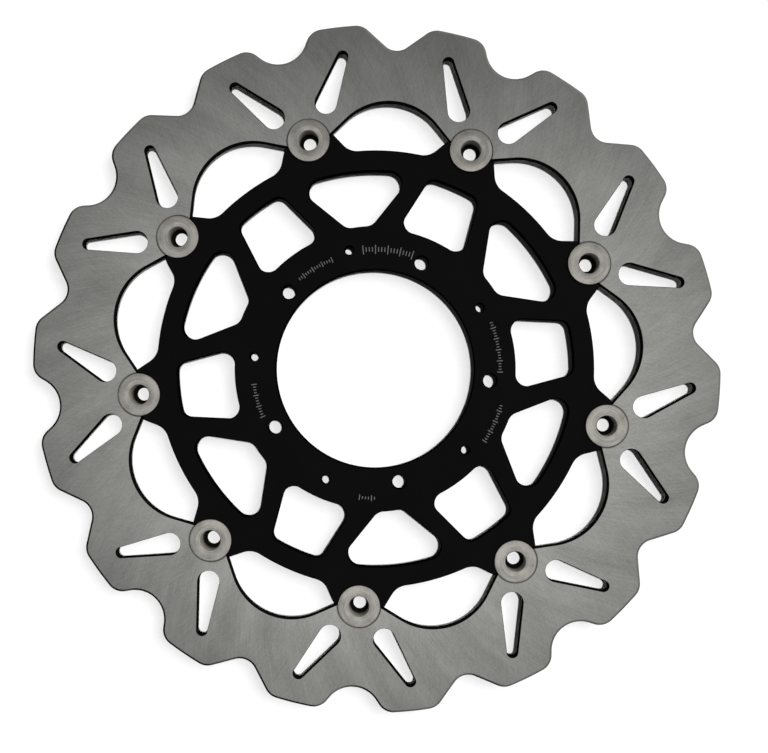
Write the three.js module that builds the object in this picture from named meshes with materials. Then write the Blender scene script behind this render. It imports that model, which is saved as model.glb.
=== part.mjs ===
// Floating front brake disc of a motorcycle.
//
// A wave-edged steel friction ring hangs on a black aluminium carrier. Nine hollow flanged buttons sit in
// the half-round notches that the two share. Behind each button a wave spring, a washer and a circlip hold
// it, so that the ring can float along the disc axis while the buttons carry the braking torque.
//
// Units are millimetres. The origin is on the disc axis, level with the rear ends of the buttons, and +Z
// points out of the front face, where the button flanges are. The design is a mirror image of itself across
// the XZ plane: one button, one bolt hole and one narrow window lie on +X.

import * as THREE from 'three';

const degrees = THREE.MathUtils.degToRad;

// How many of each feature go round the disc.
const BUTTONS = 9;
const WINDOW_PAIRS = 6;
const BOLTS = 5;

// Friction ring. Its outer edge has a round valley outside each button and a sharper one halfway between.
// Flank angles are measured from the tangential direction.
const RING_THICKNESS = 5;
const RING_OUTER_R = 160;
const VALLEY_R = 148.3;
const ROUND_VALLEY = { round: 13.5, flank: degrees(53) };
const SHARP_VALLEY = { round: 8, flank: degrees(38.7) };
const LOBE_ROUND_R = 8;
const ARCH_TOP_R = 124.6;
const ARCH = { round: 28.5, flank: degrees(47.5) };

// The two slots beside each button are teardrops: two circles joined by their common tangents. Each circle's
// centre is given in the button's own frame, outwards from the disc axis and across.
const SLOT_INNER = { out: 125.3, across: 12.7, r: 5.1 };
const SLOT_OUTER = { out: 143.8, across: 26.1, r: 2.5 };

// Carrier. Each lug narrows outwards, its flanks leaning from the radial direction.
const CARRIER_THICKNESS = 5;
const CARRIER_RIM_R = 101.7;
const CARRIER_FILLET_R = 9;
const LUG_HALF_WIDTH = 11.8;
const LUG_FLANK = degrees(27.5);
const HUB_BORE_R = 46.2;
const BOLT_CIRCLE_R = 53.8;
const BOLT_HOLE_R = 3.2;
const SMALL_CIRCLE_R = 56.5;
const SMALL_HOLE_R = 2;

// Windows of the carrier: the radius of each curved edge, half its length, and the rounding of its corners.
const NARROW_WINDOW = { inner: { r: 65.4, half: 16.8, round: 5.5 }, outer: { r: 92.2, half: 12.4, round: 4.5 } };
const WIDE_WINDOW = { inner: { r: 66.5, half: 5.75, round: 6 }, outer: { r: 92.2, half: 27.5, round: 6 } };

// Buttons and what holds them.
const BUTTON_CIRCLE_R = 110.35;
const FLANGE_R = 9.75;
const FLANGE_THICKNESS = 1.2;
const BARREL_R = 7;
const BUTTON_BORE_R = 4.6;
const BORE_LIP_R = 3;
const BORE_LIP_RISE = 0.8;
const BUTTON_CHAMFER = 0.25;
const BARREL_END = 0.5;
const GROOVE_R = 6.2;
const CIRCLIP_THICKNESS = 0.8;
const CIRCLIP_OUTER_R = 8.6;
const CIRCLIP_EAR_R = 10;
const CIRCLIP_EAR_ROUND = 0.7;
const CIRCLIP_HALF_MOUTH = degrees(12);
const CIRCLIP_HALF_SPAN = degrees(32);
const EAR_HOLE_R = 0.6;
const WASHER_THICKNESS = 0.5;
const WASHER_OUTER_R = 9.6;
const SPRING_HEIGHT = 0.7;
const SPRING_STRIP = 0.25;
const SPRING_OUTER_R = 9.5;
const SPRING_WAVES = 3;

// Clearances.
const RUNNING_GAP = 0.3;
const STACK_GAP = 0.05;
const LUG_GAP = 0.4;

// Levels along the disc axis, from the rear ends of the buttons forwards.
const CIRCLIP_Z = BARREL_END + STACK_GAP;
const WASHER_Z = CIRCLIP_Z + CIRCLIP_THICKNESS + STACK_GAP;
const SPRING_Z = WASHER_Z + WASHER_THICKNESS + STACK_GAP;
const PLATE_Z = SPRING_Z + SPRING_HEIGHT + RUNNING_GAP;
const FLANGE_Z = PLATE_Z + RING_THICKNESS + RUNNING_GAP;
const BUTTON_TOP = FLANGE_Z + FLANGE_THICKNESS;

// Curves are drawn as chords that leave the true curve by no more than this.
const CHORD_ERROR = 0.07;
const TURNED_SIDES = 20;
const SPRING_SIDES = 24;

const metal = (color, roughness) => new THREE.MeshStandardMaterial({ color, roughness, metalness: 1 });
const brushedSteel = metal(0x86867f, 0.42);
const turnedSteel = metal(0x9b958c, 0.38);
const springSteel = metal(0x6f7072, 0.35);
const platedSteel = metal(0xa3a3a0, 0.45);
const phosphatedSteel = metal(0x2c2b29, 0.6);
const blackAluminium = new THREE.MeshStandardMaterial({ color: 0x101010, roughness: 0.6, metalness: 0.3 });

const part = new THREE.Group();

const polar = (radius, angle) => new THREE.Vector2(radius * Math.cos(angle), radius * Math.sin(angle));
const leftOf = (direction) => new THREE.Vector2(-direction.y, direction.x);
const turned = (point, angle) => point.clone().rotateAround(new THREE.Vector2(), angle);
const mirrored = (point) => new THREE.Vector2(point.x, -point.y);
const share = (index, count) => (2 * Math.PI * index) / count;

// Points along an arc, both ends included, from one angle through a sweep that is negative when clockwise.
function arcPoints(centre, radius, from, sweep) {
  const step = 2 * Math.acos(1 - CHORD_ERROR / radius);
  const count = Math.ceil(Math.abs(sweep) / step);
  const points = [];
  for (let i = 0; i <= count; i += 1) {
    points.push(polar(radius, from + (sweep * i) / count).add(centre));
  }
  return points;
}

// The arc about a centre that takes the short way from one point to another.
function shortArc(centre, from, to) {
  const start = from.clone().sub(centre);
  const end = to.clone().sub(centre);
  return arcPoints(centre, start.length(), start.angle(), Math.atan2(start.cross(end), start.dot(end)));
}

const circle = (centre, radius) => arcPoints(centre, radius, 0, 2 * Math.PI).slice(0, -1);

// The nearest point ahead where a ray meets a circle about the origin.
function rayToCircle(point, direction, radius) {
  const middle = -point.dot(direction);
  const half = Math.sqrt(middle * middle - point.lengthSq() + radius * radius);
  const along = middle - half > 0 ? middle - half : middle + half;
  return point.clone().addScaledVector(direction, along);
}

// A corner of an outline: its place, its rounding, and whether the edge from it to the next corner is
// straight or an arc about the outline's origin.
const corner = (at, round = 0, arcNext = false) => ({ at, round, arcNext });

// An edge as it passes one of its two corners: the direction of travel there, and the spin of an arc,
// which is 1 anticlockwise, -1 clockwise and 0 for a straight edge.
function edgeAt(vertex, from, to) {
  const spin = from.arcNext ? Math.sign(from.at.cross(to.at)) : 0;
  const straight = to.at.clone().sub(from.at).normalize();
  const direction = spin === 0 ? straight : leftOf(vertex.at).normalize().multiplyScalar(spin);
  return { spin, direction };
}

// The centre of a corner's rounding lies as far from one edge as from the other.
function roundingCentre(vertex, before, after, reach) {
  const shifted = ({ direction }) => vertex.at.clone().addScaledVector(leftOf(direction), reach);
  if (before.spin === 0 && after.spin === 0) {
    const gap = shifted(after).sub(shifted(before));
    const along = gap.cross(after.direction) / before.direction.cross(after.direction);
    return shifted(before).addScaledVector(before.direction, along);
  }
  const [line, arc, sense] = before.spin === 0 ? [before, after, -1] : [after, before, 1];
  const radius = vertex.at.length() - arc.spin * reach;
  return rayToCircle(shifted(line), line.direction.clone().multiplyScalar(sense), radius);
}

function roundedCorner(previous, vertex, next) {
  if (vertex.round === 0) {
    return [vertex.at];
  }
  const before = edgeAt(vertex, previous, vertex);
  const after = edgeAt(vertex, vertex, next);
  const reach = vertex.round * Math.sign(before.direction.cross(after.direction));
  const centre = roundingCentre(vertex, before, after, reach);
  const touch = ({ spin, direction }) => (spin === 0
    ? centre.clone().addScaledVector(leftOf(direction), -reach)
    : centre.clone().setLength(vertex.at.length()));
  return shortArc(centre, touch(before), touch(after));
}

// The points of a closed outline, its corners rounded and its arcs drawn.
function outline(corners) {
  const count = corners.length;
  const rounded = corners.map((vertex, i) => (
    roundedCorner(corners[(i + count - 1) % count], vertex, corners[(i + 1) % count])));
  return rounded.flatMap((points, i) => {
    if (!corners[i].arcNext) {
      return points;
    }
    const arc = shortArc(new THREE.Vector2(), points.at(-1), rounded[(i + 1) % count][0]);
    return [...points, ...arc.slice(1, -1)];
  });
}

// Repeats a list of corners around the disc axis.
function aroundDisc(count, cornersOf) {
  return Array.from({ length: count }, (unused, i) => i).flatMap((i) => (
    cornersOf(i).map((vertex) => ({ ...vertex, at: turned(vertex.at, share(i, count)) }))));
}

// A plate of even thickness, lying from its lower level upwards.
function plate(edge, holes, lower, thickness) {
  const shape = new THREE.Shape(edge);
  shape.holes = holes.map((points) => new THREE.Path(points));
  const geometry = new THREE.ExtrudeGeometry(shape, { depth: thickness, bevelEnabled: false });
  return geometry.translate(0, 0, lower);
}

// A solid turned about Z from a closed list of [radius, level] pairs.
function turning(profile, sides) {
  const points = [...profile, profile[0]].map(([radius, level]) => new THREE.Vector2(radius, level));
  return new THREE.LatheGeometry(points, sides).rotateX(Math.PI / 2);
}

function addMesh(name, geometry, material, place = new THREE.Vector2(), angle = 0) {
  const mesh = new THREE.Mesh(geometry, material);
  mesh.name = name;
  mesh.position.set(place.x, place.y, 0);
  mesh.rotation.z = angle;
  part.add(mesh);
}

// The half circle that a button's barrel lies in, in the button's own frame, ending on the lug's flat face.
function notch(faceOut) {
  const centre = new THREE.Vector2(BUTTON_CIRCLE_R, 0);
  const radius = BARREL_R + RUNNING_GAP;
  const dip = Math.acos((faceOut - BUTTON_CIRCLE_R) / radius);
  const sweep = faceOut > BUTTON_CIRCLE_R ? 2 * dip : 2 * dip - 2 * Math.PI;
  return arcPoints(centre, radius, -dip, sweep).map((point) => corner(point));
}

// One valley of the outer edge, with the lobe corners on both sides of it. The flanks meet below the
// valley's rounded bottom.
function valleyCorners({ round, flank }, azimuth) {
  const bottom = new THREE.Vector2(VALLEY_R + round * (1 - 1 / Math.cos(flank)), 0);
  const shoulder = rayToCircle(bottom, polar(1, Math.PI / 2 - flank), RING_OUTER_R);
  return [
    corner(mirrored(shoulder), LOBE_ROUND_R),
    corner(bottom, round),
    corner(shoulder, LOBE_ROUND_R, true),
  ].map((vertex) => ({ ...vertex, at: turned(vertex.at, azimuth) }));
}

// The ring's inner edge at one button: a lug with its notch, then the arch that leads to the next lug.
function ringLugCorners() {
  const faceOut = BUTTON_CIRCLE_R + LUG_GAP / 2;
  const halfPitch = Math.PI / BUTTONS;
  const archTop = polar(ARCH_TOP_R + ARCH.round * (1 / Math.cos(ARCH.flank) - 1), halfPitch);
  const flank = polar(1, halfPitch - Math.PI / 2 - ARCH.flank);
  const lugEnd = archTop.clone().addScaledVector(flank, (faceOut - archTop.x) / flank.x);
  return [corner(mirrored(lugEnd)), ...notch(faceOut), corner(lugEnd), corner(archTop, ARCH.round)];
}

function slot(side, azimuth) {
  const inner = turned(new THREE.Vector2(SLOT_INNER.out, side * SLOT_INNER.across), azimuth);
  const outer = turned(new THREE.Vector2(SLOT_OUTER.out, side * SLOT_OUTER.across), azimuth);
  const line = outer.clone().sub(inner);
  const spread = Math.acos((SLOT_INNER.r - SLOT_OUTER.r) / line.length());
  return [
    ...arcPoints(outer, SLOT_OUTER.r, line.angle() - spread, 2 * spread),
    ...arcPoints(inner, SLOT_INNER.r, line.angle() + spread, 2 * (Math.PI - spread)),
  ];
}

function addFrictionRing() {
  const halfPitch = Math.PI / BUTTONS;
  const edge = outline(aroundDisc(BUTTONS, () => [
    ...valleyCorners(ROUND_VALLEY, 0),
    ...valleyCorners(SHARP_VALLEY, halfPitch),
  ]));
  const holes = [outline(aroundDisc(BUTTONS, ringLugCorners))];
  for (let i = 0; i < BUTTONS; i += 1) {
    holes.push(slot(1, share(i, BUTTONS)), slot(-1, share(i, BUTTONS)));
  }
  addMesh('friction_ring', plate(edge, holes, PLATE_Z, RING_THICKNESS), brushedSteel);
}

// The carrier's outer edge at one button: a lug with its notch, then the rim that leads to the next lug.
function carrierLugCorners() {
  const faceOut = BUTTON_CIRCLE_R - LUG_GAP / 2;
  const lugEnd = new THREE.Vector2(faceOut, LUG_HALF_WIDTH);
  const root = rayToCircle(lugEnd, polar(1, Math.PI - LUG_FLANK), CARRIER_RIM_R);
  return [
    corner(mirrored(root), CARRIER_FILLET_R),
    corner(mirrored(lugEnd)),
    ...notch(faceOut),
    corner(lugEnd),
    corner(root, CARRIER_FILLET_R, true),
  ];
}

function windowOutline({ inner, outer }, azimuth) {
  const onArc = ({ r, half }, side) => new THREE.Vector2(Math.sqrt(r * r - half * half), side * half);
  const corners = [
    corner(onArc(outer, -1), outer.round, true),
    corner(onArc(outer, 1), outer.round),
    corner(onArc(inner, 1), inner.round, true),
    corner(onArc(inner, -1), inner.round),
  ];
  return outline(corners.map((vertex) => ({ ...vertex, at: turned(vertex.at, azimuth) })));
}

function addCarrier() {
  const edge = outline(aroundDisc(BUTTONS, carrierLugCorners));
  const holes = [circle(new THREE.Vector2(), HUB_BORE_R)];
  for (let i = 0; i < WINDOW_PAIRS; i += 1) {
    holes.push(windowOutline(NARROW_WINDOW, share(i, WINDOW_PAIRS)));
    holes.push(windowOutline(WIDE_WINDOW, share(i + 0.5, WINDOW_PAIRS)));
  }
  for (let i = 0; i < BOLTS; i += 1) {
    holes.push(circle(polar(BOLT_CIRCLE_R, share(i, BOLTS)), BOLT_HOLE_R));
    holes.push(circle(polar(SMALL_CIRCLE_R, share(i + 0.5, BOLTS)), SMALL_HOLE_R));
  }
  addMesh('carrier', plate(edge, holes, PLATE_Z, CARRIER_THICKNESS), blackAluminium);
}

// A hollow rivet: a barrel with a circlip groove near its rear end, and a wide flange in front. Its bore
// narrows to a lip at the rear.
function buttonGeometry() {
  return turning([
    [BORE_LIP_R, 0],
    [BARREL_R, 0],
    [BARREL_R, BARREL_END],
    [GROOVE_R, BARREL_END],
    [GROOVE_R, WASHER_Z],
    [BARREL_R, WASHER_Z],
    [BARREL_R, FLANGE_Z],
    [FLANGE_R, FLANGE_Z],
    [FLANGE_R, BUTTON_TOP - BUTTON_CHAMFER],
    [FLANGE_R - BUTTON_CHAMFER, BUTTON_TOP],
    [BUTTON_BORE_R + BUTTON_CHAMFER, BUTTON_TOP],
    [BUTTON_BORE_R, BUTTON_TOP - BUTTON_CHAMFER],
    [BUTTON_BORE_R, 2 * BORE_LIP_RISE],
    [BORE_LIP_R, BORE_LIP_RISE],
  ], TURNED_SIDES);
}

function flatRing(innerR, outerR, lower, thickness, sides) {
  const upper = lower + thickness;
  return turning([[innerR, lower], [outerR, lower], [outerR, upper], [innerR, upper]], sides);
}

// A flat ring bent into waves, which rise and fall by what is left of the spring's height.
function waveSpringGeometry() {
  const wave = (SPRING_HEIGHT - SPRING_STRIP) / 2;
  const geometry = flatRing(BARREL_R + RUNNING_GAP, SPRING_OUTER_R, SPRING_Z + wave, SPRING_STRIP, SPRING_SIDES);
  const { position } = geometry.attributes;
  for (let i = 0; i < position.count; i += 1) {
    const angle = Math.atan2(position.getY(i), position.getX(i));
    position.setZ(i, position.getZ(i) + wave * Math.cos(SPRING_WAVES * angle));
  }
  return geometry;
}

// An open ring with two ears at its mouth, which faces +X, and a plier hole in each ear.
function circlipGeometry() {
  const innerR = GROOVE_R + RUNNING_GAP;
  const half = [
    corner(polar(innerR, CIRCLIP_HALF_MOUTH)),
    corner(polar(CIRCLIP_EAR_R, CIRCLIP_HALF_MOUTH), CIRCLIP_EAR_ROUND, true),
    corner(polar(CIRCLIP_EAR_R, CIRCLIP_HALF_SPAN), CIRCLIP_EAR_ROUND),
    corner(polar(CIRCLIP_OUTER_R, CIRCLIP_HALF_SPAN), 0, true),
  ];
  const edge = outline([
    ...half,
    corner(polar(CIRCLIP_OUTER_R, Math.PI), 0, true),
    corner(mirrored(half[3].at)),
    corner(mirrored(half[2].at), CIRCLIP_EAR_ROUND, true),
    corner(mirrored(half[1].at), CIRCLIP_EAR_ROUND),
    corner(mirrored(half[0].at), 0, true),
    corner(polar(innerR, Math.PI), 0, true),
  ]);
  const earMiddle = (CIRCLIP_HALF_MOUTH + CIRCLIP_HALF_SPAN) / 2;
  const holes = [earMiddle, -earMiddle].map((angle) => (
    circle(polar((innerR + CIRCLIP_EAR_R) / 2, angle), EAR_HOLE_R)));
  return plate(edge, holes, CIRCLIP_Z, CIRCLIP_THICKNESS);
}

function addButtons() {
  const boreR = BARREL_R + RUNNING_GAP;
  for (let i = 0; i < BUTTONS; i += 1) {
    const angle = share(i, BUTTONS);
    const place = polar(BUTTON_CIRCLE_R, angle);
    const washer = flatRing(boreR, WASHER_OUTER_R, WASHER_Z, WASHER_THICKNESS, TURNED_SIDES);
    addMesh(`button_${i + 1}`, buttonGeometry(), turnedSteel, place, angle);
    addMesh(`wave_spring_${i + 1}`, waveSpringGeometry(), springSteel, place, angle);
    addMesh(`washer_${i + 1}`, washer, platedSteel, place, angle);
    addMesh(`circlip_${i + 1}`, circlipGeometry(), phosphatedSteel, place, angle);
  }
}

addFrictionRing();
addCarrier();
addButtons();

export default part;
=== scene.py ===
"""Looks of a floating motorcycle brake disc, built around its CAD model.

Drawing sizes are in millimetres and become metres when a mesh is made. The origin is on the disc axis, level
with the rear ends of the buttons, and +Z points out of the front face. Outlines are lists of complex numbers:
the real part is X and the imaginary part Y.
"""

import cmath
import math

import bpy
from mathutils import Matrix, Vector
from mathutils.geometry import tessellate_polygon


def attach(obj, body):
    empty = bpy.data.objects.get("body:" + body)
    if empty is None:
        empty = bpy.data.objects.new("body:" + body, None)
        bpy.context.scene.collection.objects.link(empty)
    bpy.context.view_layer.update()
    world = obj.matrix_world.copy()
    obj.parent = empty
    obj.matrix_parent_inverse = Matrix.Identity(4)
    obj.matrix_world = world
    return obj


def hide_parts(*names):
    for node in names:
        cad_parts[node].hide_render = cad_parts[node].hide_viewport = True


MM = 0.001
TAU = 2 * math.pi

# How many of each feature go round the disc.
BUTTONS = 9
WINDOW_PAIRS = 6
BOLTS = 5

# Friction ring. Flank angles are measured from the tangential direction.
RING_THICKNESS = 5
RING_OUTER_R = 160
VALLEY_R = 148.3
ROUND_VALLEY = (13.5, math.radians(53))
SHARP_VALLEY = (8, math.radians(38.7))
LOBE_ROUND_R = 8
ARCH_TOP_R = 124.6
ARCH_ROUND_R = 28.5
ARCH_FLANK = math.radians(47.5)

# Slots beside each button: centre outwards and across in the button's own frame, and radius.
SLOT_INNER = (125.3, 12.7, 5.1)
SLOT_OUTER = (143.8, 26.1, 2.5)

# Carrier.
CARRIER_THICKNESS = 5
CARRIER_RIM_R = 101.7
CARRIER_FILLET_R = 9
LUG_HALF_WIDTH = 11.8
LUG_FLANK = math.radians(27.5)
HUB_BORE_R = 46.2
BOLT_CIRCLE_R = 53.8
BOLT_HOLE_R = 3.2
SMALL_CIRCLE_R = 56.5
SMALL_HOLE_R = 2

# Windows of the carrier: radius, half length and corner rounding of the inner and of the outer edge.
NARROW_WINDOW = ((65.4, 16.8, 5.5), (92.2, 12.4, 4.5))
WIDE_WINDOW = ((66.5, 5.75, 6), (92.2, 27.5, 6))

# Buttons and what holds them.
BUTTON_CIRCLE_R = 110.35
FLANGE_R = 9.75
BARREL_R = 7
BUTTON_BORE_R = 4.6
BORE_LIP_R = 3
BORE_LIP_RISE = 0.8
GROOVE_R = 6.2
CIRCLIP_OUTER_R = 8.6
CIRCLIP_EAR_R = 10
CIRCLIP_EAR_ROUND = 0.7
CIRCLIP_HALF_MOUTH = math.radians(12)
CIRCLIP_HALF_SPAN = math.radians(32)
EAR_HOLE_R = 0.6
WASHER_OUTER_R = 9.6
SPRING_OUTER_R = 9.5
SPRING_WAVES = 3
SPRING_STRIP = 0.25
RUNNING_GAP = 0.3
LUG_GAP = 0.4

# Rows of tick marks on the carrier: azimuth in degrees, radius, number of ticks, their spacing and height.
MARK_ROWS = (
    (17.5, 55.6, 17, 1.45, 4.2),
    (54.5, 54.5, 15, 1.25, 2.6),
    (-56.1, 58.1, 19, 1.3, 2.6),
    (-91.0, 61.0, 15, 1.3, 2.6),
    (129.0, 56.7, 13, 1.3, 2.6),
    (200.3, 60.1, 6, 1.4, 2.6),
)
# Every so many ticks one has the full height, and the others have half of it.
MARK_LONG_EVERY = 4
MARK_STROKE = 0.42
MARK_RELIEF = 0.02

# Levels along the disc axis. A pair is where a piece starts and ends. The rim behind the circlip groove ends
# at BARREL_END, PLATE_Z is the rear face of the ring and the carrier, and FLANGE_Z that of the flanges.
BARREL_END = 0.5
CIRCLIP_Z = (0.55, 1.35)
WASHER_Z = (1.4, 1.9)
SPRING_Z = (1.95, 2.65)
PLATE_Z = 2.95
FLANGE_Z = 8.25
BUTTON_TOP = 9.45

# Edges of the ring. The bevel is the width and depth of the outer front edge, and the rear edge is given as
# insets and heights above the rear face. The edges of the holes have a share of these widths.
RING_BEVEL = (0.95, 0.42)
RING_HOLE_SHARE = 0.25
RING_REAR_EDGE = ((0.3, 0), (0.1, 0.1), (0, 0.3))

# Roundings of the edges of the other pieces.
CARRIER_EDGE_ROUND = 0.4
CIRCLIP_EDGE_ROUND = 0.08
WASHER_EDGE_ROUND = 0.12
SPRING_EDGE_ROUND = 0.06
GROOVE_EDGE_ROUND = 0.06
LIP_REAR_ROUND = 0.15
LIP_FRONT_ROUND = 0.1
LIP_FILLET = 0.2
BARREL_REAR_ROUND = 0.25
FLANGE_FILLET = 0.2
FLANGE_REAR_ROUND = 0.1
FLANGE_RIM_ROUND = 0.28
BORE_CHAMFER = 0.35
BORE_CHAMFER_ROUND = 0.08

# Finish of the ring's ground faces. Their colour lies between two tones. Painted shade brings it down to a
# share of itself from the falloff radius to the outer edge, where the overhead reflection falls off.
RING_DARK = (0.42, 0.42, 0.40)
RING_LIGHT = (0.72, 0.72, 0.69)
RING_CONTRAST = 4.2
RING_FALLOFF_R = 112
RING_FALLOFF_KEEPS = 0.74

# The painted shadow on the ring round each flange, where the flange stands over the ring face.
FLANGE_SHADOW_R = 10.15
FLANGE_SHADOW_WIDTH = 0.55
FLANGE_SHADOW_KEEPS = 0.03

# The levels at which the painted shade in a button's bore is darkest and at which it ends.
BORE_SHADE_DARKEST_Z = 1.5
BORE_SHADE_END_Z = 9.4

# Fineness of the meshes. Faces that meet at more than the sharp angle keep a crisp edge between them.
CHORD_ERROR = 0.004
TURNED_SIDES = 128
SHARP_ANGLE = math.radians(35)


def share(index, count):
    return TAU * index / count


def cross(a, b):
    return (a.conjugate() * b).imag


def dot(a, b):
    return (a.conjugate() * b).real


def unit(vector):
    return vector / abs(vector)


def turned(point, angle):
    return point * cmath.rect(1, angle)


def arc_points(centre, radius, start, sweep):
    """Points along an arc, both ends included; a negative sweep runs clockwise."""
    step = 2 * math.acos(1 - CHORD_ERROR / radius)
    count = max(1, math.ceil(abs(sweep) / step))
    return [centre + cmath.rect(radius, start + sweep * i / count) for i in range(count + 1)]


def short_arc(centre, start, end):
    """The arc about a centre that takes the short way from one point to another."""
    a, b = start - centre, end - centre
    return arc_points(centre, abs(a), cmath.phase(a), math.atan2(cross(a, b), dot(a, b)))


def circle(centre, radius):
    return arc_points(centre, radius, 0, TAU)[:-1]


def ray_to_circle(point, direction, radius):
    """The nearest point ahead where a ray meets a circle about the origin."""
    middle = -dot(point, direction)
    half = math.sqrt(middle * middle - abs(point) ** 2 + radius * radius)
    along = middle - half if middle - half > 0 else middle + half
    return point + direction * along


def corner(at, rounding=0, arc_next=False):
    """A corner of an outline. The edge to the next corner is straight, or an arc about the origin."""
    return (at, rounding, arc_next)


def edge_at(vertex, start, end):
    """Spin and direction of an edge at one of its corners; the spin is 0 for a straight edge."""
    spin = math.copysign(1, cross(start[0], end[0])) if start[2] else 0
    direction = unit(end[0] - start[0]) if spin == 0 else 1j * unit(vertex[0]) * spin
    return spin, direction


def rounded_corner(previous, vertex, following):
    """The points that replace a corner: an arc that touches the edges on both sides of it."""
    at, rounding, _ = vertex
    if rounding == 0:
        return [at]
    before = edge_at(vertex, previous, vertex)
    after = edge_at(vertex, vertex, following)
    reach = rounding * math.copysign(1, cross(before[1], after[1]))
    if before[0] == 0 and after[0] == 0:
        gap = 1j * (after[1] - before[1]) * reach
        centre = at + 1j * before[1] * reach + before[1] * cross(gap, after[1]) / cross(before[1], after[1])
    else:
        line, arc, sense = (before, after, -1) if before[0] == 0 else (after, before, 1)
        centre = ray_to_circle(at + 1j * line[1] * reach, line[1] * sense, abs(at) - arc[0] * reach)

    def touch(edge):
        return centre - 1j * edge[1] * reach if edge[0] == 0 else unit(centre) * abs(at)

    return short_arc(centre, touch(before), touch(after))


def outline(corners):
    """The points of a closed outline, its corners rounded and its arcs drawn."""
    count = len(corners)
    rounded = [rounded_corner(corners[i - 1], corners[i], corners[(i + 1) % count]) for i in range(count)]
    points = []
    for i in range(count):
        points += rounded[i]
        if corners[i][2]:
            points += short_arc(0, rounded[i][-1], rounded[(i + 1) % count][0])[1:-1]
    return points


def turned_corners(corners, angle):
    return [(turned(at, angle), rounding, arc_next) for at, rounding, arc_next in corners]


def around_disc(count, corners):
    """Repeats a list of corners around the disc axis."""
    return [vertex for i in range(count) for vertex in turned_corners(corners, share(i, count))]


def notch(face_out):
    """The half circle that a button's barrel lies in, ending on the lug's flat face."""
    radius = BARREL_R + RUNNING_GAP
    dip = math.acos((face_out - BUTTON_CIRCLE_R) / radius)
    sweep = 2 * dip if face_out > BUTTON_CIRCLE_R else 2 * dip - TAU
    return [corner(point) for point in arc_points(BUTTON_CIRCLE_R, radius, -dip, sweep)]


def valley_corners(valley, azimuth):
    """A valley of the ring's outer edge, with its shoulders."""
    rounding, flank = valley
    bottom = complex(VALLEY_R + rounding * (1 - 1 / math.cos(flank)))
    shoulder = ray_to_circle(bottom, cmath.rect(1, math.pi / 2 - flank), RING_OUTER_R)
    corners = [
        corner(shoulder.conjugate(), LOBE_ROUND_R),
        corner(bottom, rounding),
        corner(shoulder, LOBE_ROUND_R, True),
    ]
    return turned_corners(corners, azimuth)


def ring_lug_corners():
    """A lug of the ring, with its half of a button's notch, and the top of the arch after it."""
    face_out = BUTTON_CIRCLE_R + LUG_GAP / 2
    half_pitch = math.pi / BUTTONS
    arch_top = cmath.rect(ARCH_TOP_R + ARCH_ROUND_R * (1 / math.cos(ARCH_FLANK) - 1), half_pitch)
    flank = cmath.rect(1, half_pitch - math.pi / 2 - ARCH_FLANK)
    lug_end = arch_top + flank * (face_out - arch_top.real) / flank.real
    return [corner(lug_end.conjugate()), *notch(face_out), corner(lug_end), corner(arch_top, ARCH_ROUND_R)]


def slot_outline(side, azimuth):
    """The teardrop slot on one side of a button: two circles and their common tangents."""
    inner = turned(complex(SLOT_INNER[0], side * SLOT_INNER[1]), azimuth)
    outer = turned(complex(SLOT_OUTER[0], side * SLOT_OUTER[1]), azimuth)
    line = outer - inner
    spread = math.acos((SLOT_INNER[2] - SLOT_OUTER[2]) / abs(line))
    return [
        *arc_points(outer, SLOT_OUTER[2], cmath.phase(line) - spread, 2 * spread),
        *arc_points(inner, SLOT_INNER[2], cmath.phase(line) + spread, 2 * (math.pi - spread)),
    ]


def carrier_lug_corners():
    """A lug of the carrier, with its half of a button's notch."""
    face_out = BUTTON_CIRCLE_R - LUG_GAP / 2
    lug_end = complex(face_out, LUG_HALF_WIDTH)
    root = ray_to_circle(lug_end, cmath.rect(1, math.pi - LUG_FLANK), CARRIER_RIM_R)
    return [
        corner(root.conjugate(), CARRIER_FILLET_R),
        corner(lug_end.conjugate()),
        *notch(face_out),
        corner(lug_end),
        corner(root, CARRIER_FILLET_R, True),
    ]


def window_outline(window, azimuth):
    (inner_r, inner_half, inner_round), (outer_r, outer_half, outer_round) = window
    inner = complex(math.sqrt(inner_r**2 - inner_half**2), inner_half)
    outer = complex(math.sqrt(outer_r**2 - outer_half**2), outer_half)
    corners = [
        corner(outer.conjugate(), outer_round, True),
        corner(outer, outer_round),
        corner(inner, inner_round, True),
        corner(inner.conjugate(), inner_round),
    ]
    return outline(turned_corners(corners, azimuth))


def inset(loop, distance):
    """A loop moved to its left, its corners mitred."""
    moved = []
    for i, at in enumerate(loop):
        mitre = 1j * (unit(at - loop[i - 1]) + unit(loop[(i + 1) % len(loop)] - at))
        moved.append(at + 2 * distance * mitre / abs(mitre) ** 2)
    return moved


def area(loop):
    return sum(cross(loop[i - 1], at) for i, at in enumerate(loop)) / 2


def facing(loop, sense):
    """The loop, running anticlockwise for sense 1 and clockwise for -1."""
    return loop if area(loop) * sense > 0 else loop[::-1]


# --- Meshes -----------------------------------------------------------------------------------------------


def add_piece(name, shape, looks, body, node=None, place=0j, spin=0):
    """Makes a piece from a shape in millimetres: its points, its faces, and for each face whether it is
    shaded smooth and which of the looks it takes. The piece rides on a body and stands in for a node."""
    points, faces, smooth, looks_taken = shape
    mesh = bpy.data.meshes.new(name)
    mesh.from_pydata([Vector(point) * MM for point in points], [], faces)
    for look in looks:
        mesh.materials.append(look)
    mesh.set_sharp_from_angle(angle=SHARP_ANGLE)
    mesh.polygons.foreach_set("use_smooth", smooth)
    mesh.polygons.foreach_set("material_index", [min(look, len(looks) - 1) for look in looks_taken])
    piece = bpy.data.objects.new(name, mesh)
    piece.location = (place.real * MM, place.imag * MM, 0)
    piece.rotation_euler = (0, 0, spin)
    bpy.context.scene.collection.objects.link(piece)
    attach(piece, body)
    if node:
        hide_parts(node)


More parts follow.
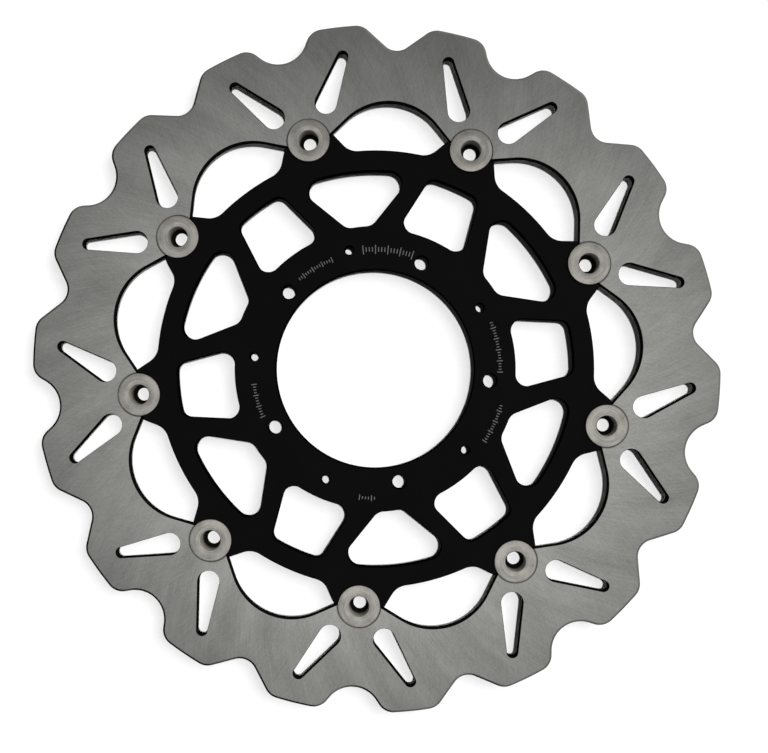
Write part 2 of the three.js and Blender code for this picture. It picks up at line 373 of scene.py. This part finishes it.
def edge_levels(lower, upper, rounding, steps):
    """(inset, level) pairs of a plate's wall, from the rear face to the front, its two edges rounded off."""
    quarter = [math.pi / 2 * i / steps for i in range(steps + 1)]
    rear = [(rounding * (1 - math.sin(a)), lower + rounding * (1 - math.cos(a))) for a in quarter]
    front = [(rounding * (1 - math.cos(a)), upper - rounding * (1 - math.sin(a))) for a in quarter]
    return rear + front


def plate_mesh(edge, holes, levels, hole_share=1.0):
    """A plate as a shape. Its walls take the second look and its broken outer front edge the third. The edges
    of its holes are broken by a share of what the outer edge is."""
    loops = [facing(edge, 1)] + [facing(hole, -1) for hole in holes]
    rows = []
    for distance, level in levels:
        moved = [inset(loops[0], distance)] + [inset(loop, distance * hole_share) for loop in loops[1:]]
        rows.append([[(at.real, at.imag, level) for at in loop] for loop in moved])
    points = [point for row in rows for loop in row for point in loop]
    total = sum(len(loop) for loop in loops)

    faces, looks_taken = [], []
    for step in range(len(rows) - 1):
        start = step * total
        for index, loop in enumerate(loops):
            count = len(loop)
            for i in range(count):
                a, b = start + i, start + (i + 1) % count
                faces.append((a, b, b + total, a + total))
            front_edge = index == 0 and step > len(rows) / 2
            looks_taken += [2 if front_edge else 1] * count
            start += count
    walls = len(faces)

    for row, offset, sense in ((rows[0], 0, -1), (rows[-1], (len(rows) - 1) * total, 1)):
        for a, b, c in tessellate_polygon([[Vector(point) for point in loop] for loop in row]):
            pa, pb, pc = (points[offset + index] for index in (a, b, c))
            turn = (pb[0] - pa[0]) * (pc[1] - pa[1]) - (pb[1] - pa[1]) * (pc[0] - pa[0])
            order = (a, b, c) if turn * sense > 0 else (a, c, b)
            faces.append(tuple(offset + index for index in order))
    looks_taken += [0] * (len(faces) - walls)
    return points, faces, [i < walls for i in range(len(faces))], looks_taken


def turned_mesh(profile, level_shift=None, in_bore=None):
    """A solid turned about Z as a shape, from a closed profile of radius + level * 1j. What lies in its bore
    takes the second look."""
    profile = facing(profile, 1)
    points, faces, looks_taken = [], [], []
    for s in range(TURNED_SIDES):
        angle = share(s, TURNED_SIDES)
        lift = level_shift(angle) if level_shift else 0
        points += [(at.real * math.cos(angle), at.real * math.sin(angle), at.imag + lift) for at in profile]
    count = len(profile)
    for s in range(TURNED_SIDES):
        here, there = s * count, (s + 1) % TURNED_SIDES * count
        for i in range(count):
            j = (i + 1) % count
            faces.append((here + i, there + i, there + j, here + j))
            looks_taken.append(int(bool(in_bore and in_bore((profile[i] + profile[j]) / 2))))
    return points, faces, [True] * len(faces), looks_taken


# --- Materials --------------------------------------------------------------------------------------------


class Nodes:
    """A short way to write node trees. Places and lengths in them are in metres."""

    def __init__(self, tree):
        self.tree = tree

    def add(self, kind, settings=None, inputs=None):
        node = self.tree.nodes.new(kind)
        for key, value in (settings or {}).items():
            setattr(node, key, value)
        for key, value in (inputs or {}).items():
            if isinstance(value, bpy.types.NodeSocket):
                self.tree.links.new(value, node.inputs[key])
            else:
                node.inputs[key].default_value = value
        return node

    def math(self, operation, first, second=0.0, third=0.0):
        inputs = {0: first, 1: second, 2: third}
        return self.add("ShaderNodeMath", {"operation": operation}, inputs).outputs[0]

    def vector(self, operation, first, second=(0, 0, 0), result="Vector"):
        inputs = {0: first, 1: second}
        return self.add("ShaderNodeVectorMath", {"operation": operation}, inputs).outputs[result]

    def scaled(self, vector, amount):
        inputs = {0: vector, "Scale": amount}
        return self.add("ShaderNodeVectorMath", {"operation": "SCALE"}, inputs).outputs["Vector"]

    def point(self, x=0.0, y=0.0, z=0.0):
        return self.add("ShaderNodeCombineXYZ", None, {0: x, 1: y, 2: z}).outputs[0]

    def parts(self, place):
        return self.add("ShaderNodeSeparateXYZ", None, {0: place}).outputs

    def flat(self, place):
        """The place brought down to the XY plane."""
        return self.vector("MULTIPLY", place, (1, 1, 0))

    def radius(self, place):
        return self.vector("LENGTH", self.flat(place), result="Value")

    def noise(self, place, scale, detail=2.0, roughness=0.5):
        inputs = {"Vector": place, "Scale": scale, "Detail": detail, "Roughness": roughness}
        return self.add("ShaderNodeTexNoise", None, inputs).outputs[0]

    def ramp(self, value, low, high, at_low, at_high, kind="LINEAR"):
        """Goes from one result to the other as the value goes from low to high, and no further."""
        inputs = {0: value, 1: low, 2: high, 3: at_low, 4: at_high}
        return self.add("ShaderNodeMapRange", {"interpolation_type": kind}, inputs).outputs[0]

    def spread(self, value, at_zero, at_one):
        """The value, which runs from 0 to 1, made to run from one result to the other."""
        return self.ramp(value, 0.0, 1.0, at_zero, at_one)

    def contrast(self, value, gain):
        """The value, which runs from 0 to 1, stretched about its middle."""
        return self.spread(value, 0.5 - gain / 2, 0.5 + gain / 2)

    def blend(self, *parts):
        """The sum of (value, weight) pairs."""
        total = self.math("MULTIPLY", *parts[0])
        for value, weight in parts[1:]:
            total = self.math("MULTIPLY_ADD", value, weight, total)
        return total

    def shade(self, value, dark, light):
        inputs = {"Factor": value, 6: (*dark, 1), 7: (*light, 1)}
        return self.add("ShaderNodeMix", {"data_type": "RGBA"}, inputs).outputs[2]

    def darken(self, color, keep, least):
        """The colour, brought down to a least share of itself where keep is 0."""
        return self.scaled(color, self.spread(keep, least, 1.0))


class Look(Nodes):
    """A material. Its shader is given values that hold all over, and what varies is linked to it."""

    def __init__(self, name, **values):
        self.material = bpy.data.materials.new(name)
        self.material.use_nodes = True
        super().__init__(self.material.node_tree)
        self.shader = self.tree.nodes["Principled BSDF"]
        for key, value in values.items():
            self.shader.inputs[key.replace("_", " ")].default_value = value
        self.place = self.add("ShaderNodeTexCoord").outputs["Object"]

    def vary(self, **sockets):
        for key, value in sockets.items():
            self.tree.links.new(value, self.shader.inputs[key.replace("_", " ")])

    def relief(self, height, depth):
        """Fine relief, where the height runs from 0 to 1 and the depth is in metres."""
        inputs = {"Height": height, "Distance": depth, "Strength": 1.0}
        self.vary(Normal=self.add("ShaderNodeBump", None, inputs).outputs[0])


def grinding_place(look, twist, fineness, drift):
    """A place for noise in thin streaks that run outwards from the disc axis and bend by the twist, in
    radians for each metre of radius. The fineness acts across the streaks and the drift along them."""
    radius = look.radius(look.place)
    outward = look.vector("NORMALIZE", look.flat(look.place))
    bent = {"Vector": outward, "Angle": look.math("MULTIPLY", radius, -twist)}
    spun = look.add("ShaderNodeVectorRotate", {"rotation_type": "Z_AXIS"}, bent).outputs[0]
    along = look.point(z=look.math("MULTIPLY", radius, drift))
    return look.vector("ADD", look.scaled(spun, fineness), along)


def near_button(look):
    """Distance to the axis of the nearest button."""
    x, y, _ = look.parts(look.place)
    half_pitch = math.pi / BUTTONS
    beside = look.math("WRAP", look.math("ARCTAN2", y, x), half_pitch, -half_pitch)
    radius = look.radius(look.place)
    out = look.math("MULTIPLY_ADD", radius, look.math("COSINE", beside), -BUTTON_CIRCLE_R * MM)
    across = look.math("MULTIPLY", radius, look.math("SINE", beside))
    return look.vector("LENGTH", look.point(out, across), result="Value")


def ring_face():
    """Ground steel: fine streaks that cross each other, broad sectors of painted sheen, painted shade towards
    the outer edge, and a painted shadow round each flange.
    """
    look = Look("ring_ground_face", Metallic=1.0, Roughness=0.3)
    streaks = grinding_place(look, twist=3.4, fineness=330.0, drift=90.0)
    cross_streaks = grinding_place(look, twist=-2.0, fineness=240.0, drift=110.0)
    broad_streaks = grinding_place(look, twist=3.4, fineness=11.0, drift=24.0)
    fine = look.noise(streaks, 1.0, detail=3.0, roughness=0.65)
    crossing = look.noise(cross_streaks, 1.0, detail=3.0, roughness=0.65)
    # Broad sectors of lighter and darker tone: painted sheen of the ground faces.
    sectors = look.noise(broad_streaks, 1.0)
    clouds = look.noise(look.place, 42.0, detail=4.0, roughness=0.6)
    grain = look.noise(look.place, 1300.0, roughness=0.7)
    tone = look.blend((fine, 0.26), (crossing, 0.16), (sectors, 0.22), (clouds, 0.16), (grain, 0.20))
    steel = look.shade(look.contrast(tone, RING_CONTRAST), RING_DARK, RING_LIGHT)

    # Painted shade: darker towards the outer edge, where the overhead reflection falls off.
    reflection_kept = look.ramp(look.radius(look.place), RING_FALLOFF_R * MM, RING_OUTER_R * MM, 1.0, 0.0)
    steel = look.darken(steel, reflection_kept, RING_FALLOFF_KEEPS)

    # Painted shadow on the ring round each flange.
    off_flange_shadow = look.math("ABSOLUTE", look.math("SUBTRACT", near_button(look), FLANGE_SHADOW_R * MM))
    unshadowed = look.math("SMOOTH_MIN", look.math("DIVIDE", off_flange_shadow, FLANGE_SHADOW_WIDTH * MM), 1.0, 0.3)
    steel = look.darken(steel, unshadowed, FLANGE_SHADOW_KEEPS)

    look.vary(Base_Color=steel, Roughness=look.spread(tone, 0.36, 0.26))
    look.relief(look.math("MULTIPLY_ADD", grain, 0.4, fine), 0.000006)
    return look.material


def ring_wall():
    """The cut walls of the ring: lines that run through its thickness, and stains, on a near-black colour
    that is painted shade.
    """
    look = Look("ring_cut_wall", Metallic=0.0, Specular_IOR_Level=0.0)
    drawn_out = look.vector("MULTIPLY", look.place, (1, 1, 0.08))
    cut_lines = look.noise(drawn_out, 1600.0)
    stains = look.noise(look.place, 120.0)
    tone = look.blend((stains, 0.4), (cut_lines, 0.6))
    # Near-black colour: painted shade on the walls of the slots, arches and outer edge.
    color = look.shade(tone, (0.002, 0.002, 0.002), (0.007, 0.007, 0.0068))
    look.vary(Base_Color=color, Roughness=look.spread(tone, 0.8, 0.6))
    look.relief(cut_lines, 0.00004)
    return look.material


def ring_edge():
    """The bevel round the ring: machined after grinding, so smoother than the faces."""
    look = Look("ring_edge", Metallic=1.0, Roughness=0.1)
    lines = look.noise(look.place, 700.0, roughness=0.6)
    color = look.shade(lines, (0.34, 0.34, 0.325), (0.50, 0.50, 0.48))
    look.vary(Base_Color=color, Roughness=look.spread(lines, 0.14, 0.06))
    return look.material


def bore_wall():
    """The bore of a button: drawn metal with painted shade that makes it darker with depth."""
    look = Look("button_bore", Metallic=0.0, Specular_IOR_Level=0.1)
    _, _, height = look.parts(look.place)
    # Painted shade, darker with depth in the bore.
    unshaded = look.ramp(height, BORE_SHADE_DARKEST_Z * MM, BORE_SHADE_END_Z * MM, 0.0, 1.0)
    squeezed = look.vector("MULTIPLY", look.place, (1, 1, 12))
    lines = look.noise(squeezed, 500.0, roughness=0.6)
    tone = look.math("MULTIPLY", unshaded, look.spread(lines, 0.7, 1.2))
    color = look.shade(tone, (0.003, 0.0028, 0.0025), (0.40, 0.37, 0.32))
    look.vary(Base_Color=color, Roughness=look.spread(lines, 0.7, 0.5))
    look.relief(lines, 0.00001)
    return look.material


def anodised(name, dark, light, roughness, sheen):
    """Dyed aluminium: dull, with faint clouds and a fine grain."""
    look = Look(name, Metallic=0.0, Specular_IOR_Level=sheen)
    clouds = look.noise(look.place, 45.0, detail=3.0, roughness=0.6)
    grain = look.noise(look.place, 2600.0, roughness=0.6)
    tone = look.blend((clouds, 0.65), (grain, 0.35))
    look.vary(
        Base_Color=look.shade(tone, dark, light),
        Roughness=look.spread(tone, roughness + 0.08, roughness - 0.08),
    )
    look.relief(grain, 0.00002)
    return look.material


def turned_metal(name, dark, light, roughness, ring_pitch, relief):
    """Metal turned on a lathe: fine rings about the piece's own Z axis."""
    look = Look(name, Metallic=1.0, Roughness=roughness, Anisotropic=0.7)
    _, _, height = look.parts(look.place)
    lanes = look.math("MULTIPLY", look.math("ADD", look.radius(look.place), height), 1 / ring_pitch)
    swirl = look.scaled(look.flat(look.place), 90.0)
    rings = look.noise(look.vector("ADD", swirl, look.point(z=lanes)), 1.0, roughness=0.6)
    smudges = look.noise(look.place, 260.0)
    grain = look.noise(look.place, 2400.0, roughness=0.7)
    tone = look.blend((smudges, 0.3), (rings, 0.4), (grain, 0.3))
    around = {"direction_type": "RADIAL", "axis": "Z"}
    look.vary(
        Base_Color=look.shade(look.contrast(tone, 2.4), dark, light),
        Roughness=look.spread(tone, roughness + 0.07, roughness - 0.07),
        Tangent=look.add("ShaderNodeTangent", around).outputs[0],
    )
    look.relief(rings, relief)
    return look.material


def grained_metal(name, dark, light, roughness, grain_scale, relief):
    """Plated, phosphated or rolled metal: an even finish with a fine grain."""
    look = Look(name, Metallic=1.0, Roughness=roughness)
    grain = look.noise(look.place, grain_scale, roughness=0.6)
    clouds = look.noise(look.place, grain_scale / 8)
    tone = look.blend((clouds, 0.5), (grain, 0.5))
    look.vary(
        Base_Color=look.shade(tone, dark, light),
        Roughness=look.spread(tone, roughness + 0.08, roughness - 0.08),
    )
    look.relief(grain, relief)
    return look.material


# --- The disc ---------------------------------------------------------------------------------------------


def build_ring():
    valleys = valley_corners(ROUND_VALLEY, 0) + valley_corners(SHARP_VALLEY, math.pi / BUTTONS)
    holes = [outline(around_disc(BUTTONS, ring_lug_corners()))]
    holes += [slot_outline(side, share(i, BUTTONS)) for i in range(BUTTONS) for side in (1, -1)]
    top = PLATE_Z + RING_THICKNESS
    bevel_width, bevel_depth = RING_BEVEL
    levels = [(distance, PLATE_Z + rise) for distance, rise in RING_REAR_EDGE]
    levels += [(0, top - bevel_depth), (bevel_width, top)]
    shape = plate_mesh(outline(around_disc(BUTTONS, valleys)), holes, levels, RING_HOLE_SHARE)
    looks = (ring_face(), ring_wall(), ring_edge())
    add_piece("ring_plate", shape, looks, "ring", "friction_ring")


def add_marks():
    """Rows of plain tick marks on the carrier, laser-marked round the hub bore."""
    front = PLATE_Z + CARRIER_THICKNESS
    half = MARK_STROKE / 2
    points, faces = [], []
    for azimuth, radius, ticks, spacing, height in MARK_ROWS:
        for i in range(ticks):
            angle = math.radians(azimuth) + (i - (ticks - 1) / 2) * spacing / radius
            rise = height / 2 if i % MARK_LONG_EVERY == 0 else height / 4
            corners = [complex(-rise, -half), complex(rise, -half), complex(rise, half), complex(-rise, half)]
            start = len(points)
            for level in (front - MARK_RELIEF, front + MARK_RELIEF):
                for at in corners:
                    spot = turned(radius + at, angle)
                    points.append((spot.real, spot.imag, level))
            low, high = range(start, start + 4), range(start + 4, start + 8)
            faces += [tuple(high), tuple(reversed(low))]
            faces += [(low[k], low[(k + 1) % 4], high[(k + 1) % 4], high[k]) for k in range(4)]
    look = grained_metal(
        "laser_mark",
        dark=(0.30, 0.30, 0.29),
        light=(0.55, 0.55, 0.53),
        roughness=0.6,
        grain_scale=3000,
        relief=0.000004,
    )
    shape = (points, faces, [False] * len(faces), [0] * len(faces))
    add_piece("service_marks", shape, (look,), "carrier")


def build_carrier():
    holes = [circle(0, HUB_BORE_R)]
    for i in range(WINDOW_PAIRS):
        holes.append(window_outline(NARROW_WINDOW, share(i, WINDOW_PAIRS)))
        holes.append(window_outline(WIDE_WINDOW, share(i + 0.5, WINDOW_PAIRS)))
    for i in range(BOLTS):
        holes.append(circle(cmath.rect(BOLT_CIRCLE_R, share(i, BOLTS)), BOLT_HOLE_R))
        holes.append(circle(cmath.rect(SMALL_CIRCLE_R, share(i + 0.5, BOLTS)), SMALL_HOLE_R))
    levels = edge_levels(PLATE_Z, PLATE_Z + CARRIER_THICKNESS, CARRIER_EDGE_ROUND, steps=3)
    edge = outline(around_disc(BUTTONS, carrier_lug_corners()))
    face = anodised(
        "carrier_face",
        dark=(0.0012, 0.0012, 0.0013),
        light=(0.0026, 0.0026, 0.0027),
        roughness=0.55,
        sheen=0.08,
    )
    # The walls are a darker copy of the face with no sheen: painted shade in the windows and holes.
    wall = anodised(
        "carrier_wall",
        dark=(0.0010, 0.0010, 0.0011),
        light=(0.0018, 0.0018, 0.0019),
        roughness=0.6,
        sheen=0.0,
    )
    shape = plate_mesh(edge, holes, levels)
    add_piece("carrier_plate", shape, (face, wall), "carrier", "carrier")
    add_marks()


def button_profile():
    """Half of a button's section, from the rear end of the bore up the outside and down the bore again."""
    return outline([
        corner(complex(BORE_LIP_R, 0), LIP_REAR_ROUND),
        corner(complex(BARREL_R, 0), BARREL_REAR_ROUND),
        corner(complex(BARREL_R, BARREL_END), GROOVE_EDGE_ROUND),
        corner(complex(GROOVE_R, BARREL_END), GROOVE_EDGE_ROUND),
        corner(complex(GROOVE_R, WASHER_Z[0]), GROOVE_EDGE_ROUND),
        corner(complex(BARREL_R, WASHER_Z[0]), GROOVE_EDGE_ROUND),
        corner(complex(BARREL_R, FLANGE_Z), FLANGE_FILLET),
        corner(complex(FLANGE_R, FLANGE_Z), FLANGE_REAR_ROUND),
        corner(complex(FLANGE_R, BUTTON_TOP), FLANGE_RIM_ROUND),
        corner(complex(BUTTON_BORE_R + BORE_CHAMFER, BUTTON_TOP), BORE_CHAMFER_ROUND),
        corner(complex(BUTTON_BORE_R, BUTTON_TOP - BORE_CHAMFER), BORE_CHAMFER_ROUND),
        corner(complex(BUTTON_BORE_R, 2 * BORE_LIP_RISE), LIP_FILLET),
        corner(complex(BORE_LIP_R, BORE_LIP_RISE), LIP_FRONT_ROUND),
    ])


def flat_ring_profile(inner_r, outer_r, lower, upper, rounding):
    ends = [(inner_r, lower), (outer_r, lower), (outer_r, upper), (inner_r, upper)]
    return outline([corner(complex(*end), rounding) for end in ends])


def circlip_outline():
    """The edge of a circlip and its two ear holes. Its mouth opens along +X."""
    inner_r = GROOVE_R + RUNNING_GAP
    half = [
        corner(cmath.rect(inner_r, CIRCLIP_HALF_MOUTH), 0),
        corner(cmath.rect(CIRCLIP_EAR_R, CIRCLIP_HALF_MOUTH), CIRCLIP_EAR_ROUND, True),
        corner(cmath.rect(CIRCLIP_EAR_R, CIRCLIP_HALF_SPAN), CIRCLIP_EAR_ROUND),
        corner(cmath.rect(CIRCLIP_OUTER_R, CIRCLIP_HALF_SPAN), 0, True),
    ]
    edge = outline([
        *half,
        corner(complex(-CIRCLIP_OUTER_R), 0, True),
        corner(half[3][0].conjugate()),
        corner(half[2][0].conjugate(), CIRCLIP_EAR_ROUND, True),
        corner(half[1][0].conjugate(), CIRCLIP_EAR_ROUND),
        corner(half[0][0].conjugate(), 0, True),
        corner(complex(-inner_r), 0, True),
    ])
    middle = (CIRCLIP_HALF_MOUTH + CIRCLIP_HALF_SPAN) / 2
    ear = (inner_r + CIRCLIP_EAR_R) / 2
    return edge, [circle(cmath.rect(ear, angle), EAR_HOLE_R) for angle in (middle, -middle)]


def wave_spring_mesh(bore_r):
    wave = (SPRING_Z[1] - SPRING_Z[0] - SPRING_STRIP) / 2
    base = SPRING_Z[0] + wave
    strip = flat_ring_profile(bore_r, SPRING_OUTER_R, base, base + SPRING_STRIP, SPRING_EDGE_ROUND)
    return turned_mesh(strip, level_shift=lambda angle: wave * math.cos(SPRING_WAVES * angle))


def build_buttons():
    bore_r = BARREL_R + RUNNING_GAP
    button = turned_mesh(button_profile(), in_bore=lambda at: at.real < BUTTON_BORE_R + 0.01)
    washer = turned_mesh(flat_ring_profile(bore_r, WASHER_OUTER_R, *WASHER_Z, WASHER_EDGE_ROUND))
    circlip = plate_mesh(*circlip_outline(), edge_levels(*CIRCLIP_Z, CIRCLIP_EDGE_ROUND, steps=2))
    face = turned_metal(
        "button_face",
        dark=(0.34, 0.327, 0.297),
        light=(0.94, 0.905, 0.83),
        roughness=0.3,
        ring_pitch=0.0004,
        relief=0.00001,
    )
    strip = grained_metal(
        "spring_strip",
        dark=(0.2, 0.2, 0.21),
        light=(0.34, 0.34, 0.35),
        roughness=0.3,
        grain_scale=1500,
        relief=0.000004,
    )
    plating = grained_metal(
        "washer_plating",
        dark=(0.38, 0.38, 0.36),
        light=(0.52, 0.52, 0.5),
        roughness=0.38,
        grain_scale=1800,
        relief=0.000006,
    )
    phosphate = grained_metal(
        "circlip_phosphate",
        dark=(0.02, 0.019, 0.018),
        light=(0.05, 0.047, 0.045),
        roughness=0.55,
        grain_scale=2400,
        relief=0.00001,
    )
    kinds = (
        ("button", button, "turned_steel", (face, bore_wall())),
        ("wave_spring", wave_spring_mesh(bore_r), "spring_steel", (strip,)),
        ("washer", washer, "plated_steel", (plating,)),
        ("circlip", circlip, "phosphated_steel", (phosphate,)),
    )
    for i in range(BUTTONS):
        angle = share(i, BUTTONS)
        place = cmath.rect(BUTTON_CIRCLE_R, angle)
        for kind, shape, finish, looks in kinds:
            name = f"{kind}_fine_{i + 1}"
            add_piece(name, shape, looks, f"button_set_{i + 1}", f"{kind}_{i + 1}", place, angle)


# --- The picture ------------------------------------------------------------------------------------------

# The picture is turned about the disc axis: its right-hand side lies at this azimuth of the model.
PICTURE_AZIMUTH = math.radians(-66.19)

# The camera looks down the disc axis. Its lens and sensor are in millimetres, its place in metres and its
# turns about X, Y and Z in degrees.
CAMERA_LENS = 43.87
CAMERA_SENSOR = 36
CAMERA_PLACE = (0.00138, -0.01155, 0.44283)
CAMERA_TURNS = (-0.017, 0.905, -66.194)

# Half the side of the floor, in metres.
FLOOR_HALF = 12.0

# What the metal mirrors: a broad soft light overhead with a flag beside it, and low surroundings that are
# paler on one side and have a dark strip on the other. Directions are azimuth and elevation in degrees, and
# spreads are degrees from them: full effect up to the first, none beyond the second.
OVERHEAD = (-30, 86)
OVERHEAD_SPREAD = (8, 31)
OVERHEAD_LEVEL = 0.68
AROUND_LEVEL = 0.29
FLAG = (86, 70)
FLAG_SPREAD = (2, 15)
FLAG_KEEPS = 0.3
PALE_SIDE = (32, 5)
PALE_SPREAD = (30, 62)
PALE_SIDE_LEVEL = 0.15

# The dark strip. Its height, and the half heights of its full effect and of its end, are sines of elevation.
DARK_SIDE = (206, 10)
DARK_SPREAD = (45, 75)
STRIP_HEIGHT = 0.37
STRIP_HALF = (0.11, 0.18)
STRIP_DARKNESS = 0.96

# The level of light from all round that falls on matt surfaces, and the level of the background.
FILL_LEVEL = 0.03
BACKGROUND_LEVEL = 0.85


def picture_direction(azimuth, elevation):
    """The unit vector towards a light, its azimuth counted from the picture's right-hand side, in degrees."""
    a = PICTURE_AZIMUTH + math.radians(azimuth)
    e = math.radians(elevation)
    return Vector((math.cos(a) * math.cos(e), math.sin(a) * math.cos(e), math.sin(e)))


def add_camera():
    data = bpy.data.cameras.new("camera")
    data.lens = CAMERA_LENS
    data.sensor_width = CAMERA_SENSOR
    camera = bpy.data.objects.new("camera", data)
    camera.location = CAMERA_PLACE
    camera.rotation_euler = [math.radians(turn) for turn in CAMERA_TURNS]
    bpy.context.scene.collection.objects.link(camera)
    bpy.context.scene.camera = camera


def add_light(name, azimuth, elevation, spread, strength):
    """A far light that is this many degrees across. Metal doesn't mirror it: the sky is there for that."""
    data = bpy.data.lights.new(name, "SUN")
    data.angle = math.radians(spread)
    data.energy = strength
    lamp = bpy.data.objects.new(name, data)
    lamp.rotation_euler = picture_direction(azimuth, elevation).to_track_quat("Z", "Y").to_euler()
    lamp.visible_glossy = False
    bpy.context.scene.collection.objects.link(lamp)


def add_floor():
    mesh = bpy.data.meshes.new("floor")
    corners = [(x * FLOOR_HALF, y * FLOOR_HALF, 0) for x, y in ((-1, -1), (1, -1), (1, 1), (-1, 1))]
    mesh.from_pydata(corners, [], [(0, 1, 2, 3)])
    look = Look("floor_paper", Roughness=0.9, Specular_IOR_Level=0.1)
    paper = look.noise(look.place, 300.0)
    look.vary(Base_Color=look.shade(paper, (0.86, 0.86, 0.86), (0.9, 0.9, 0.9)))
    mesh.materials.append(look.material)
    floor = bpy.data.objects.new("floor", mesh)
    bpy.context.scene.collection.objects.link(floor)


def lobe(nodes, towards, aim, spread, inside, outside):
    """A level that goes from the inside to the outside value as directions turn away from the aim."""
    near, far = (math.cos(math.radians(angle)) for angle in spread)
    alignment = nodes.vector("DOT_PRODUCT", towards, picture_direction(*aim), result="Value")
    return nodes.ramp(alignment, far, near, outside, inside, "SMOOTHSTEP")


def mirrored_sky(nodes):
    """The level of the sky that metal mirrors, in every direction."""
    towards = nodes.add("ShaderNodeTexCoord").outputs["Generated"]
    sky = lobe(nodes, towards, OVERHEAD, OVERHEAD_SPREAD, OVERHEAD_LEVEL, AROUND_LEVEL)
    sky = nodes.math("MULTIPLY", sky, lobe(nodes, towards, FLAG, FLAG_SPREAD, FLAG_KEEPS, 1.0))
    _, _, height = nodes.parts(towards)
    off_strip = nodes.math("ABSOLUTE", nodes.math("SUBTRACT", height, STRIP_HEIGHT))
    strip = nodes.ramp(off_strip, *STRIP_HALF, STRIP_DARKNESS, 0.0, "SMOOTHSTEP")
    strip = nodes.math("MULTIPLY", strip, lobe(nodes, towards, DARK_SIDE, DARK_SPREAD, 1.0, 0.0))
    sky = nodes.math("MULTIPLY", sky, nodes.math("SUBTRACT", 1.0, strip))
    return nodes.math("ADD", sky, lobe(nodes, towards, PALE_SIDE, PALE_SPREAD, PALE_SIDE_LEVEL, 0.0))


def add_surroundings():
    """One level of light for the background, one for matt surfaces, and a sky for what is mirrored."""
    world = bpy.data.worlds.new("studio")
    world.use_nodes = True
    nodes = Nodes(world.node_tree)

    def background(strength):
        inputs = {"Color": (1, 1, 1, 1), "Strength": strength}
        return nodes.add("ShaderNodeBackground", None, inputs).outputs[0]

    def choose(condition, if_true, if_false):
        return nodes.add("ShaderNodeMixShader", None, {0: condition, 1: if_false, 2: if_true}).outputs[0]

    rays = nodes.add("ShaderNodeLightPath").outputs
    light = choose(rays["Is Glossy Ray"], background(mirrored_sky(nodes)), background(FILL_LEVEL))
    light = choose(rays["Is Camera Ray"], background(BACKGROUND_LEVEL), light)
    nodes.tree.links.new(light, nodes.tree.nodes["World Output"].inputs["Surface"])
    bpy.context.scene.world = world


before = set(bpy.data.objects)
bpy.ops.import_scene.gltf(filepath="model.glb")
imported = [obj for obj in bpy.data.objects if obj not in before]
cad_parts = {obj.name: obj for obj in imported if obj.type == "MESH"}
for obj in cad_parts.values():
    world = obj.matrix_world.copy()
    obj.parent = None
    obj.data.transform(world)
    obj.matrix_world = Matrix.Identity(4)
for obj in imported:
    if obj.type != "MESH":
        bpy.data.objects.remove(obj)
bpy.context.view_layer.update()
build_ring()
build_carrier()
build_buttons()
add_floor()
add_surroundings()
add_light("key", azimuth=31, elevation=79, spread=4, strength=2.75)
add_light("side", azimuth=30, elevation=46, spread=45, strength=1.5)
add_camera()
bpy.context.scene.view_settings.view_transform = "Standard"
